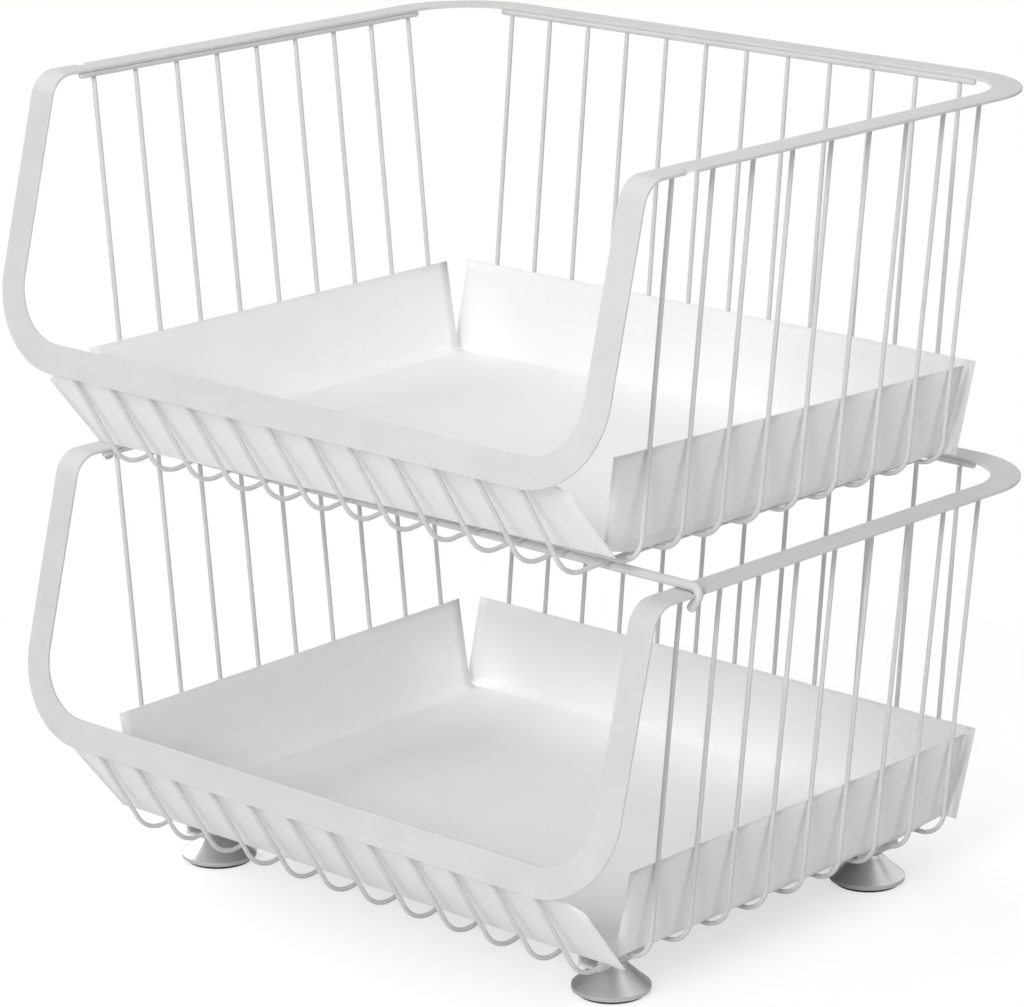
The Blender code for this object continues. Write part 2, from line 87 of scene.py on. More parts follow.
# Wires
wire_diameter = 0.0022
cross_wire_count = 9
cross_wire_pitch = 0.0260
cross_wire_from_back = 0.0498
cross_wire_outset = 0.0018
side_wall_angle = math.radians(5.65)
long_wire_count = 12
long_wire_pitch = 0.0250
long_wire_inset = 0.0013
back_wall_angle = math.radians(5.7)
bottom_bend_radius = 0.0135
front_wall_angle = math.radians(58)
front_floor_setback = 0.0358
front_wire_bend_radius = 0.0170
upper_front_dips = (0.0043, 0.0018)
lower_front_dips = (0.0053, 0.0053)
front_dip_length = 0.0248
dip_end_bend_radius = 0.0200
lip_wire_bend_radius = 0.0060
lip_wire_end_margin = 0.0015

# Weld beads, as half sizes across the joint and through it
bead_radius = 0.0012
bead_depth = 0.0005
bead_turns = 10
bead_rings = 6

# Liner
liner_thickness = 0.0005
liner_height = 0.0440
liner_side_fold_inset = 0.0113
liner_front_fold_inset = 0.0074
liner_back_fold_inset = 0.0080
crease_reach = 0.0050
crease_rise = 0.0022
corner_slit = 0.0015
upper_side_flap_reach = 0.0035
lower_side_flap_reach = -0.0012
side_flap_back_reach = 0.0010
back_flap_bottom_reaches = (0.0120, 0.0084)
back_flap_top_reaches = (0.0087, 0.0133)
front_flap_bottom_reach = 0.0125
front_flap_top_reach = 0.0145
front_flap_rise = 0.0415
front_flap_end_drop = 0.0080
floor_curl_length = 0.0250
upper_liner_lifts = (0.0, 0.0065, 0.0, 0.0)
lower_liner_lifts = (0.0, 0.0010, 0.0025, 0.0030)
fold_radius = 0.0020
crease_radius = 0.0035
fold_steps = 5
flap_steps = 8
flat_end_share = 0.08           # the folds' part of a flap's height, at its flat ends
floor_columns = 36
floor_rows = 36
front_sag = 0.0010              # the floor's front edge hangs between the wires' dips
front_sag_length = 0.0140

# Crossbar and rear support
crossbar_diameter = 0.0042
crossbar_from_back = 0.2506
hook_bend_radius = 0.0032
hook_tail_length = 0.0130
hook_tail_angle = math.radians(35)
rear_support_from_back = 0.0640
rear_support_bend_radius = 0.0100

# Feet
channel_width = 0.0130
channel_length = 0.0300
channel_height = 0.0102
channel_wall = 0.0015
channel_round = 0.0004
channel_round_segments = 3
foot_height = 0.0129
foot_neck_radius = 0.0065
foot_radius = 0.0178
foot_lip_height = 0.0022
foot_lip_round = 0.0005
foot_flare_share = 1.15
foot_profile_steps = 20
foot_sides = 96
stud_diameter = 0.0060
stud_top_clearance = 0.0020
thread_pitch = 0.0010
thread_depth = 0.0004
pad_radius = 0.0155
pad_thickness = 0.0014
pad_round = 0.0003
pad_groove_depth = 0.0003
pad_groove_width = 0.0006
pad_groove_radii = (0.0060, 0.0090, 0.0120)

# Derived places
half_width = basket_width / 2
back_y = basket_depth / 2
lip_y = -back_y
wire_radius = wire_diameter / 2
bar_radius = bar_diameter / 2
crossbar_radius = crossbar_diameter / 2
bar_z = -strip_thickness - bar_radius + weld_sink
wire_top = bar_z - bar_radius - gap
long_wire_bottom = wire_radius - basket_height
cross_wire_bottom = long_wire_bottom + wire_diameter + gap
liner_underside = cross_wire_bottom + wire_radius + gap
channel_top = cross_wire_bottom - wire_radius - gap
channel_bottom = channel_top - channel_height
foot_top = channel_bottom - gap
pad_top = foot_top - foot_height - gap
pad_bottom = pad_top - pad_thickness
lower_rim_height = -pad_bottom
upper_rim_height = lower_rim_height + gap + crossbar_diameter + gap + basket_height
upper_shift = notch_from_back - crossbar_from_back
crossbar_y = back_y - crossbar_from_back
crossbar_z = -basket_height - gap - crossbar_radius
up_the_front = Vector((0, math.sin(lean_angle), math.cos(lean_angle)))
front_normal = Vector((0, -math.cos(lean_angle), math.sin(lean_angle)))
lower_place = Vector((0, upper_shift / 2, lower_rim_height))
upper_place = Vector((0, -upper_shift / 2, upper_rim_height))

# Camera, in degrees, metres and pixels of the photograph
camera_azimuth = math.radians(42.7183)
camera_elevation = math.radians(16.0232)
camera_roll = math.radians(-0.3283)
camera_distance = 2.0356063
camera_target_x = -0.0108087
camera_target_drop = 0.2000023  # below the upper rim's top
camera_target_behind = 0.0052   # behind the middle of the upper basket
camera_focal_pixels = 4385.8431
photo_width = 1024
sensor_width = 36               # in millimetres, as Blender takes it
camera_nearest = 0.05
camera_farthest = 60

# Finishes, as the darkest and lightest colour and the range of the roughness
coat_colours = ((0.650, 0.650, 0.648), (0.696, 0.696, 0.694))
coat_roughness = (0.44, 0.60)
sheet_colours = ((0.870, 0.870, 0.870), (0.910, 0.910, 0.908))
sheet_roughness = (0.50, 0.66)
nickel_colours = ((0.63, 0.628, 0.624), (0.70, 0.697, 0.692))
nickel_roughness = (0.30, 0.40)
rubber_colours = ((0.028, 0.028, 0.029), (0.090, 0.088, 0.085))
rubber_roughness = (0.70, 0.90)

# Room
floor_size = 16.0
floor_colour = (0.90, 0.90, 0.90, 1)    # for the light that the floor throws back
floor_shade = (0.52, 0.52, 0.52, 1)     # for the camera, which sees the shadows on it
floor_glow = 0.62               # added for the camera, so that the lit floor looks white
room_grey = 0.14
white = (1, 1, 1, 1)
lamps_aim = (0, 0, 0.2)
lamps = (                       # name, place, size and watts
    ("key", (0.87, -2.38, 1.38), 0.8, 42.5),
    ("right", (2.6, -0.3, 1.4), 1.2, 7),
    ("back right", (2.0, 0.5, 2.0), 0.6, 8.5),
    ("left", (-2.6, -0.2, 1.2), 1.2, 28.5),
    ("top", (0, 0, 2.9), 1.6, 14.5),
    ("top left", (-1.6, 0.4, 2.3), 1.4, 9),
)
floor_near = 0.22               # the floor shows its shadows up to here from the middle,
floor_far = 0.50                # and is plain white from here on


def between(low, high, share):
    """The value a share of the way from one value to another."""
    return low + (high - low) * share


# Finishes


class Nodes:
    """Short ways to add nodes to a material's tree."""

    def __init__(self, name):
        self.material = bpy.data.materials.new(name)
        self.material.use_nodes = True
        self.tree = self.material.node_tree
        self.shader = self.tree.nodes["Principled BSDF"]

    def add(self, kind, inputs=None, **settings):
        node = self.tree.nodes.new(kind)
        for key, value in settings.items():
            setattr(node, key, value)
        for key, value in (inputs or {}).items():
            if isinstance(value, bpy.types.NodeSocket):
                self.tree.links.new(value, node.inputs[key])
            else:
                node.inputs[key].default_value = value
        return node

    def place(self):
        return self.add("ShaderNodeTexCoord").outputs["Object"]

    def noise(self, scale, detail=2.0, rough=0.5, vector=None):
        settings = {"Vector": vector or self.place(), "Scale": scale, "Detail": detail,
                    "Roughness": rough}
        return self.add("ShaderNodeTexNoise", settings).outputs["Fac"]

    def ramp(self, factor, low_colour, high_colour, low, high):
        """A colour that goes from one to another between two values of a factor."""
        node = self.add("ShaderNodeValToRGB", {"Fac": factor})
        first, last = node.color_ramp.elements
        first.position, last.position = low, high
        first.color, last.color = (*low_colour, 1), (*high_colour, 1)
        return node.outputs["Color"]

    def range(self, factor, low, high):
        """A number from low to high as a factor goes from 0 to 1."""
        settings = {"Value": factor, "To Min": low, "To Max": high}
        return self.add("ShaderNodeMapRange", settings).outputs["Result"]

    def bump(self, height, distance, strength, normal=None):
        settings = {"Height": height, "Distance": distance, "Strength": strength}
        if normal:
            settings["Normal"] = normal
        return self.add("ShaderNodeBump", settings).outputs["Normal"]

    def stretched(self, x, y, z):
        """Object places scaled unevenly, so that a pattern runs out into streaks."""
        settings = {"Vector": self.place(), "Scale": (x, y, z)}
        return self.add("ShaderNodeMapping", settings).outputs["Vector"]

    def link(self, output, name):
        self.tree.links.new(output, self.shader.inputs[name])


def coated_steel():
    """White powder coat: a faint orange peel, with slightly thinner and duller places."""
    n = Nodes("white_coated_steel")
    clouds = n.noise(scale=38, detail=3, rough=0.6)
    n.link(n.ramp(clouds, *coat_colours, low=0.30, high=0.70), "Base Color")
    n.link(n.range(n.noise(scale=120), *coat_roughness), "Roughness")
    peel = n.bump(n.noise(scale=520, rough=0.45), distance=0.00008, strength=0.55)
    specks = n.noise(scale=2600, detail=1)
    n.link(n.bump(specks, distance=0.00002, strength=0.35, normal=peel), "Normal")
    n.shader.inputs["IOR"].default_value = 1.45
    n.shader.inputs["Specular IOR Level"].default_value = 0.35
    return n.material


def white_sheet():
    """Matt white sheet: fine calendered grain, faint cloudiness and slight waves."""
    n = Nodes("white_sheet")
    clouds = n.noise(scale=22, detail=4, rough=0.65)
    n.link(n.ramp(clouds, *sheet_colours, low=0.25, high=0.75), "Base Color")
    n.link(n.range(n.noise(scale=300), *sheet_roughness), "Roughness")
    waves = n.bump(n.noise(scale=14, detail=1), distance=0.0012, strength=0.35)
    specks = n.noise(scale=1500, detail=3, rough=0.6)
    grain = n.bump(specks, distance=0.00004, strength=0.45, normal=waves)
    fibres = n.noise(scale=420, vector=n.stretched(1.0, 0.12, 1.0))
    n.link(n.bump(fibres, distance=0.00004, strength=0.30, normal=grain), "Normal")
    n.shader.inputs["IOR"].default_value = 1.46
    return n.material


def satin_nickel():
    """Satin metal turned on a lathe: fine rings, and a cloudy roughness."""
    n = Nodes("satin_nickel")
    rings = n.noise(scale=1.0, detail=3, rough=0.6, vector=n.stretched(30, 30, 5200))
    n.link(n.ramp(rings, *nickel_colours, low=0.25, high=0.75), "Base Color")
    n.link(n.range(n.noise(scale=260, detail=3), *nickel_roughness), "Roughness")
    n.link(n.bump(rings, distance=0.00002, strength=0.25), "Normal")
    n.shader.inputs["Metallic"].default_value = 1.0
    return n.material


def dark_rubber():
    """Dull dark rubber with a fine moulded grain and a little dust."""
    n = Nodes("dark_rubber")
    dust = n.noise(scale=180, detail=4, rough=0.7)
    n.link(n.ramp(dust, *rubber_colours, low=0.35, high=0.85), "Base Color")
    n.link(n.range(n.noise(scale=400), *rubber_roughness), "Roughness")
    n.link(n.bump(n.noise(scale=1800), distance=0.00006, strength=0.6), "Normal")
    return n.material


finishes = {"white_coated_steel": coated_steel(), "white_sheet": white_sheet(),
            "satin_nickel": satin_nickel(), "dark_rubber": dark_rubber()}


def add_piece(name, data, body, slot, nodes, place):
    """A shown piece on its body, with its finish, in place of its solids."""
    piece = bpy.data.objects.new(name, data)
    bpy.context.scene.collection.objects.link(piece)
    data.materials.append(finishes[slot])
    piece.location = place
    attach(piece, body)
    if nodes:
        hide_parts(*nodes)
    return piece


def mesh_from(bm, name, sharp_angle=crisp_angle):
    """A smooth mesh with outward faces that keeps its sharp edges."""
    bmesh.ops.recalc_face_normals(bm, faces=bm.faces)
    mesh = bpy.data.meshes.new(name)
    bm.to_mesh(mesh)
    bm.free()
    mesh.shade_smooth()
    mesh.set_sharp_from_angle(angle=sharp_angle)
    return mesh


# Rods and wires


def arc_points(before, corner, after, radius, steps=None):
    """Points of the arc that rounds a corner, between its two tangent points."""
    back = (before - corner).normalized()
    ahead = (after - corner).normalized()
    turn = math.pi - back.angle(ahead)
    tangent = radius * math.tan(turn / 2)
    middle = corner + (back + ahead).normalized() * (radius / math.cos(turn / 2))
    start = corner + back * tangent - middle
    axis = start.cross(corner + ahead * tangent - middle).normalized()
    steps = steps or max(2, math.ceil(turn / arc_step))
    return [middle + Matrix.Rotation(turn * i / steps, 3, axis) @ start for i in range(steps + 1)]


def rounded_path(points, radii):
    """A polyline through the points, with an arc of its own radius at each inner point."""
    corners = [Vector(p) for p in points]
    path = [corners[0]]
    for before, corner, after, radius in zip(corners, corners[1:], corners[2:], radii):
        path += arc_points(before, corner, after, radius)
    return path + [corners[-1]]


def rod_curve(name, points, radii, radius):
    """A round rod along a polyline with rounded corners and eased ends."""
    path = rounded_path(points, radii)
    ease = radius / 2
    turns = [math.pi / 2 * i / round_steps for i in range(round_steps + 1)]
    ends = []
    for end, inner in ((path[0], path[1]), (path[-1], path[-2])):
        inward = (inner - end).normalized()
        ends.append([(end + inward * ease * (1 - math.sin(a)), 1 - (1 - math.cos(a)) / 2)
                     for a in turns])
    places = list(reversed(ends[0])) + [(p, 1) for p in path[1:-1]] + ends[1]
    curve = bpy.data.curves.new(name, "CURVE")
    curve.dimensions = "3D"
    curve.bevel_depth = radius
    curve.bevel_resolution = rod_resolution
    curve.use_fill_caps = True
    spline = curve.splines.new("POLY")
    spline.points.add(len(places) - 1)
    for target, (point, size) in zip(spline.points, places):
        target.co = (*point, 1)
        target.radius = size
    spline.use_smooth = True
    return curve


def side_wall_x(z):
    """Middle of the cross wires' side runs."""
    top = half_width - side_bar_inset + cross_wire_outset
    return top + (z - wire_top) * math.tan(side_wall_angle)


def back_wall_y(z):
    """Middle of the long wires' back runs."""
    top = back_y - back_bar_inset - long_wire_inset
    return top + (z - wire_top) * math.tan(back_wall_angle)


def front_slope_y(z):
    """Middle of the long wires' front runs."""
    corner = lip_y + front_floor_setback
    return corner - (z - long_wire_bottom) / math.tan(front_wall_angle)


def lip_run_y(z):
    """Middle of the long wires' ends, which lie along the back of the lip."""
    behind = (strip_thickness + gap + wire_radius) / math.cos(lean_angle)
    return lip_y + (z + lip_drop) * math.tan(lean_angle) + behind


def lip_bend_z():
    """Height where the long wires' front runs meet the plane behind the lip."""
    behind = lip_run_y(long_wire_bottom) - front_slope_y(long_wire_bottom)
    return long_wire_bottom - behind / (math.tan(lean_angle) + 1 / math.tan(front_wall_angle))


def lip_end_z():
    """Height of the long wires' ends behind the lip."""
    return (strip_width - lip_wire_end_margin) * math.cos(lean_angle) - lip_drop


def cross_wire_ys():
    """Places of the cross wires, from the front to the back."""
    rear = back_y - cross_wire_from_back
    return [rear - cross_wire_pitch * i for i in reversed(range(cross_wire_count))]


def long_wire_xs():
    """Places of the long wires, from left to right."""
    middle = (long_wire_count - 1) / 2
    return [long_wire_pitch * (i - middle) for i in range(long_wire_count)]


def add_wires(prefix, body, place, dips):
    """The wires of one basket."""
    top = side_wall_x(wire_top)
    low = side_wall_x(cross_wire_bottom)
    for i, y in enumerate(cross_wire_ys(), 1):
        name = f"{prefix}_cross_wire_{i:02d}"
        points = [(-top, y, wire_top), (-low, y, cross_wire_bottom),
                  (low, y, cross_wire_bottom), (top, y, wire_top)]
        radii = (bottom_bend_radius, bottom_bend_radius)
        curve = rod_curve(name, points, radii, wire_radius)
        add_piece(f"{name}_coated", curve, body, "white_coated_steel", [name], place)
    xs = long_wire_xs()
    for i, x in enumerate(xs, 1):
        name = f"{prefix}_long_wire_{i:02d}"
        dip = between(*dips, (x - xs[0]) / (xs[-1] - xs[0]))
        dip_y = front_slope_y(long_wire_bottom - dip)
        points = [(x, lip_run_y(lip_end_z()), lip_end_z()),
                  (x, lip_run_y(lip_bend_z()), lip_bend_z()),
                  (x, dip_y, long_wire_bottom - dip),
                  (x, dip_y + front_dip_length, long_wire_bottom),
                  (x, back_wall_y(long_wire_bottom), long_wire_bottom),
                  (x, back_wall_y(wire_top), wire_top)]
        radii = (lip_wire_bend_radius, front_wire_bend_radius, dip_end_bend_radius,
                 bottom_bend_radius)
        curve = rod_curve(name, points, radii, wire_radius)
        add_piece(f"{name}_coated", curve, body, "white_coated_steel", [name], place)


# Weld beads


def beads_mesh(name, beads):
    """Small flattened blobs, each at a point and squeezed along a direction."""
    bm = bmesh.new()
    for point, direction in beads:
        turn = Vector((0, 0, 1)).rotation_difference(Vector(direction)).to_matrix().to_4x4()
        size = Matrix.Diagonal((bead_radius, bead_radius, bead_depth, 1))
        bmesh.ops.create_uvsphere(bm, u_segments=bead_turns, v_segments=bead_rings, radius=1,
                                  matrix=Matrix.Translation(point) @ turn @ size)
    return mesh_from(bm, name, blob_angle)


def basket_beads():
    """Where the wires of one basket are welded to each other, to the bars and to the lip."""
    up = (0, 0, 1)
    beads = []
    crossing_z = (long_wire_bottom + cross_wire_bottom) / 2
    flat_front = lip_y + front_floor_setback + front_dip_length
    for y in cross_wire_ys():
        if y > flat_front:
            beads += [((x, y, crossing_z), up) for x in long_wire_xs()]
        top = side_wall_x(wire_top)
        beads += [((sign * top, y, wire_top), up) for sign in (-1, 1)]
    back = back_wall_y(wire_top)
    lip_z = (lip_end_z() + lip_bend_z() + lip_wire_bend_radius) / 2
    seam = Vector((0, lip_run_y(lip_z), lip_z)) + front_normal * wire_radius
    for x in long_wire_xs():
        beads.append(((x, back, wire_top), up))
        beads.append(((x, seam.y, seam.z), front_normal))
    return beads


# Rim


def strip_section():
    """The strip's section with round edges: steps in from the outer edge, and heights."""
    r = strip_edge_round
    corners = [(strip_width - r, -r, 90), (strip_width - r, r - strip_thickness, 0),
               (r, r - strip_thickness, -90), (r, -r, -180)]
    section = []
    for step, height, start in corners:
        for i in range(round_steps + 1):
            angle = math.radians(start - 90 * i / round_steps)
            section.append((step + r * math.cos(angle), height + r * math.sin(angle)))
    return section


def strip_stations():
    """Places along the right half of the strip, from the lip to the back."""
    stations = []
    middle = Vector((half_width - lip_corner_radius, lip_y, -lip_drop))
    middle += up_the_front * lip_corner_radius
    for i in range(corner_segments + 1):
        angle = math.pi / 2 * i / corner_segments
        out = Vector((math.sin(angle), 0, 0)) - up_the_front * math.cos(angle)
        stations.append((middle + out * lip_corner_radius, -out, front_normal))
    rise = (lip_drop - front_bend_radius) * math.sin(lean_angle) + front_bend_radius
    middle = Vector((half_width, lip_y + rise / math.cos(lean_angle), -front_bend_radius))
    for i in range(front_bend_segments + 1):
        angle = between(lean_angle, math.pi / 2, i / front_bend_segments)
        normal = Vector((0, -math.cos(angle), math.sin(angle)))
        stations.append((middle + normal * front_bend_radius, Vector((-1, 0, 0)), normal))
    middle = Vector((half_width - back_corner_radius, back_y - back_corner_radius, 0))
    for i in range(corner_segments + 1):
        angle = math.pi / 2 * i / corner_segments
        out = Vector((math.cos(angle), math.sin(angle), 0))
        stations.append((middle + out * back_corner_radius, -out, Vector((0, 0, 1))))
    return stations


def strip_mesh():
    """The whole strip, closed round the rim."""
    right = strip_stations()
    flip = Matrix.Scale(-1, 3, Vector((1, 0, 0)))
    left = [tuple(flip @ v for v in station) for station in reversed(right)]
    bm = bmesh.new()
    rings = []
    for point, across, normal in right + left:
        rings.append([bm.verts.new(point + across * step + normal * height)
                      for step, height in strip_section()])
    for ring, following in zip(rings, rings[1:] + rings[:1]):
        for i in range(len(ring)):
            j = (i + 1) % len(ring)
            bm.faces.new((ring[i], ring[j], following[j], following[i]))
    return mesh_from(bm, "strip")


def notch_mesh():
    """A cutter with a round inner end, which opens towards +X from the rim's edge."""
    radius = notch_length / 2
    past = strip_thickness
    outline = [(past, -radius), (past, radius)]
    for i in range(notch_segments + 1):
        angle = math.pi / 2 + math.pi * i / notch_segments
        outline.append((radius - notch_depth + radius * math.cos(angle), radius * math.sin(angle)))
    bm = bmesh.new()
    face = bm.faces.new([bm.verts.new((x, y, -strip_thickness - past)) for x, y in outline])
    grown = bmesh.ops.extrude_face_region(bm, geom=[face])
    moved = [item for item in grown["geom"] if isinstance(item, bmesh.types.BMVert)]
    bmesh.ops.translate(bm, verts=moved, vec=(0, 0, strip_thickness + past + past))
    return mesh_from(bm, "notch")


def evaluated_mesh(piece):
    """The piece's mesh with its modifiers worked in."""
    graph = bpy.context.evaluated_depsgraph_get()
    return bpy.data.meshes.new_from_object(piece.evaluated_get(graph), depsgraph=graph)


def notched_strip():
    """The strip with both notches cut."""
    collection = bpy.context.scene.collection
    strip = bpy.data.objects.new("strip", strip_mesh())
    collection.objects.link(strip)
    helpers = [strip]
    for sign in (-1, 1):
        cutter = bpy.data.objects.new("notch", notch_mesh())
        collection.objects.link(cutter)
        cutter.location = (sign * half_width, back_y - notch_from_back, 0)
        cutter.rotation_euler.z = 0 if sign > 0 else math.pi
        cut = strip.modifiers.new("notch", "BOOLEAN")
        cut.object = cutter
        cut.operation = "DIFFERENCE"
        cut.solver = "EXACT"
        helpers.append(cutter)
    mesh = evaluated_mesh(strip)
    for helper in helpers:
        bpy.data.objects.remove(helper)
    return mesh


def add_bar(bm, length, place, turn):
    """A round bar with domed ends, lying along X before it is turned."""
    profile = []
    dome_steps = round_steps * 2
    for i in range(dome_steps + 1):
        angle = math.pi / 2 * i / dome_steps
        profile.append((length / 2 - bar_radius + bar_radius * math.sin(angle),
                        bar_radius * math.cos(angle)))
    outline = [(-x, r) for x, r in reversed(profile)] + profile
    lathe = bmesh.new()
    verts = [lathe.verts.new((x, 0, r)) for x, r in outline]
    edges = [lathe.edges.new(pair) for pair in zip(verts, verts[1:])]
    bmesh.ops.spin(lathe, geom=verts + edges, cent=(0, 0, 0), axis=(1, 0, 0),
                   angle=math.tau, steps=bar_sides, use_duplicate=False)
    bmesh.ops.remove_doubles(lathe, verts=lathe.verts, dist=merge_distance)
    mesh = bpy.data.meshes.new("bar")
    lathe.to_mesh(mesh)
    lathe.free()
    mesh.transform(Matrix.Translation(place) @ Matrix.Rotation(turn, 4, "Z"))
    bm.from_mesh(mesh)
    bpy.data.meshes.remove(mesh)


def rim_mesh(name):
    """The notched strip with the three bars welded under it."""
    bm = bmesh.new()
    bm.from_mesh(notched_strip())
    ys = cross_wire_ys()
    xs = long_wire_xs()
    front_end = ys[0] - side_bar_front_overhang
    back_end = ys[-1] + side_bar_back_overhang
    side_x = half_width - side_bar_inset
    back_length = xs[-1] - xs[0] + 2 * back_bar_overhang
    add_bar(bm, back_length, (0, back_y - back_bar_inset, bar_z), 0)
    for sign in (-1, 1):
        place = (sign * side_x, (front_end + back_end) / 2, bar_z)
        add_bar(bm, back_end - front_end, place, math.pi / 2)
    return mesh_from(bm, name)


def add_rim(prefix, body, place):
    """One basket's rim, shaded flat on its broad faces."""
    name = f"{prefix}_rim"
    piece = add_piece(f"{name}_coated", rim_mesh(name), body, "white_coated_steel", [name], place)
    flatten = piece.modifiers.new("even faces", "WEIGHTED_NORMAL")
    flatten.keep_sharp = True
    flatten.weight = flat_face_weight


# Liner


class LinerShape:
    """Places on one liner's outer face, with its warp."""

    def __init__(self, lifts, side_reach):
        self.lifts = lifts
        self.side_reach = side_reach
        self.half = side_wall_x(cross_wire_bottom) - liner_side_fold_inset
        self.front = front_slope_y(long_wire_bottom) + liner_front_fold_inset
        self.back = back_wall_y(long_wire_bottom) - liner_back_fold_inset
        self.clear = wire_radius + gap

    def lift(self, across, along):
        """How far the warp raises the sheet, at shares of its width and depth."""
        front_left, front_right, back_left, back_right = self.lifts
        front = between(front_left, front_right, across)
        return between(front, between(back_left, back_right, across), along)

    def floor(self, across, y):
        """A point of the floor, which rises to its folds and hangs a little at the front."""
        front_share = max(0, 1 - (y - self.front) / floor_curl_length)
        back_share = max(0, 1 - (self.back - y) / floor_curl_length)
        rise = self.lift(across, 0) * front_share + self.lift(across, 1) * back_share
        sag_share = max(0, 1 - (y - self.front) / front_sag_length)
        rise -= front_sag * sag_share
        return Vector((between(-self.half, self.half, across), y, liner_underside + rise))

    def side_rows(self, sign, along, y):
        """The second crease and the top edge of a side flap."""
        rise = self.lift(0 if sign < 0 else 1, along)
        crease_x = sign * (self.half + crease_reach)
        top_z = liner_underside + liner_height + rise
        top_x = side_wall_x(top_z) - self.clear / math.cos(side_wall_angle)
        top_y = between(self.front - self.side_reach, self.back + side_flap_back_reach, along)
        return [Vector((crease_x, y, liner_underside + crease_rise + rise)),
                Vector((sign * top_x, top_y, top_z))]

    def back_rows(self, across, overhang):
        """The fold, the second crease and the top edge of the back flap."""
        hand = 0 if across < 0.5 else 1
        bottom_reach = back_flap_bottom_reaches[hand]
        base = self.floor(across, self.back)
        base.x += overhang * bottom_reach
        top_z = base.z + liner_height
        top_y = back_wall_y(top_z) - self.clear / math.cos(back_wall_angle)
        widened = (self.half + back_flap_top_reaches[hand]) / (self.half + bottom_reach)
        crease = base + Vector((0, crease_reach, crease_rise))
        top = Vector((base.x * widened, top_y, top_z))
        if overhang:
            lean = (top_y - crease.y) / (top_z - crease.z)
            base.y = crease.y - crease_rise * lean
            crease = base.lerp(top, crease_rise / liner_height)
        return [base, crease, top]

    def front_rows(self, across, overhang):
        """The fold and the top edge of the front flap."""
        base = self.floor(across, self.front)
        base.x += overhang * front_flap_bottom_reach
        rise = front_flap_rise + front_sag
        top_z = base.z + rise
        slope_y = front_slope_y(top_z) + self.clear / math.sin(front_wall_angle)
        run_y = lip_run_y(top_z) + self.clear / math.cos(lean_angle)
        up = Vector((0, max(slope_y, run_y) - base.y, rise))
        top = base + up * (1 - abs(overhang) * front_flap_end_drop / rise)
        widened = (self.half + front_flap_top_reach) / (self.half + front_flap_bottom_reach)
        top.x = base.x * widened
        return [base, top]

    def side_section(self, sign, along, y):
        """A side flap's points from its top edge to the floor, round its crease and fold."""
        fold = self.floor(0 if sign < 0 else 1, y)
        crease, top = self.side_rows(sign, along, y)
        inner = fold - Vector((sign * crease_reach, 0, 0))
        bend = arc_points(top, crease, fold, crease_radius, fold_steps)
        bend += arc_points(crease, fold, inner, crease_radius, fold_steps)
        return [top.lerp(bend[0], i / flap_steps) for i in range(flap_steps)] + bend


def folded_flap(start, base, upper):
    """A held flap's points round its fold, and round its second crease if it has one."""
    points = [start, base, *upper]
    radii = (fold_radius,) if len(upper) == 1 else (crease_radius, crease_radius)
    path = []
    for before, corner, after, radius in zip(points, points[1:], points[2:], radii):
        path += arc_points(before, corner, after, radius, fold_steps)
    return path


def straight_flap(base, upper):
    """The low points of a flap's free end, which is flat: as many as the folded part has."""
    count = (fold_steps + 1) * len(upper)
    first = 2 if len(upper) == 1 else 1
    steps = range(first, first + count - 1)
    return [base] + [base.lerp(upper[-1], flat_end_share * i / count) for i in steps]


def skin(bm, lines):
    """Faces between neighbouring lines of points."""
    for line, following in zip(lines, lines[1:]):
        for corners in zip(line, line[1:], following[1:], following):
            bm.faces.new(corners)


def liner_mesh(name, lifts, side_reach):
    """The sheet's outer face: a floor with two side flaps, and the front and back flaps."""
    shape = LinerShape(lifts, side_reach)
    bm = bmesh.new()
    rows = []
    front_end = shape.front + corner_slit
    back_end = shape.back - corner_slit
    sag_share = (front_sag_length - corner_slit) / (back_end - front_end)
    shares = [i / floor_rows for i in range(floor_rows + 1)]
    for share in sorted(shares + [sag_share / 2, sag_share]):
        y = between(front_end, back_end, share)
        left = shape.side_section(-1, share, y)
        right = list(reversed(shape.side_section(1, share, y)))
        first, last = left[-1].x, right[0].x
        middle = []
        for i in range(1, floor_columns):
            x = between(first, last, i / floor_columns)
            middle.append(shape.floor((x / shape.half + 1) / 2, y))
        rows.append([bm.verts.new(point) for point in left + middle + right])
    skin(bm, rows)
    side_count = flap_steps + fold_steps + fold_steps + 2
    floor_edge = slice(side_count - 1, side_count + floor_columns)
    for line, rows_at in ((rows[0], shape.front_rows), (rows[-1], shape.back_rows)):
        strips = []
        held = [((v.co.x / shape.half + 1) / 2, 0, v) for v in line[floor_edge]]
        left_end = [(0, -1, None), (0, -0.5, None)]
        right_end = [(1, 0.5, None), (1, 1, None)]
        for u, overhang, vert in left_end + held + right_end:
            base, *upper = rows_at(u, overhang)
            if vert:
                base.x = vert.co.x
                path = folded_flap(vert.co.copy(), base, upper)
            else:
                path = straight_flap(base, upper)
            path += [path[-1].lerp(upper[-1], i / flap_steps) for i in range(1, flap_steps + 1)]
            verts = [bm.verts.new(point) for point in path]
            strips.append((vert, verts))
        skin(bm, [verts for vert, verts in strips])
        for (a, first), (b, second) in zip(strips, strips[1:]):
            if a and b:
                bm.faces.new((a, b, second[0], first[0]))
    bmesh.ops.recalc_face_normals(bm, faces=bm.faces)
    middle = rows[len(rows) // 2][side_count + floor_columns // 2].link_faces[0]
    if middle.normal.z < 0:
        bmesh.ops.reverse_faces(bm, faces=bm.faces)
    mesh = bpy.data.meshes.new(name)
    bm.to_mesh(mesh)
    bm.free()
    mesh.shade_smooth()
    return mesh


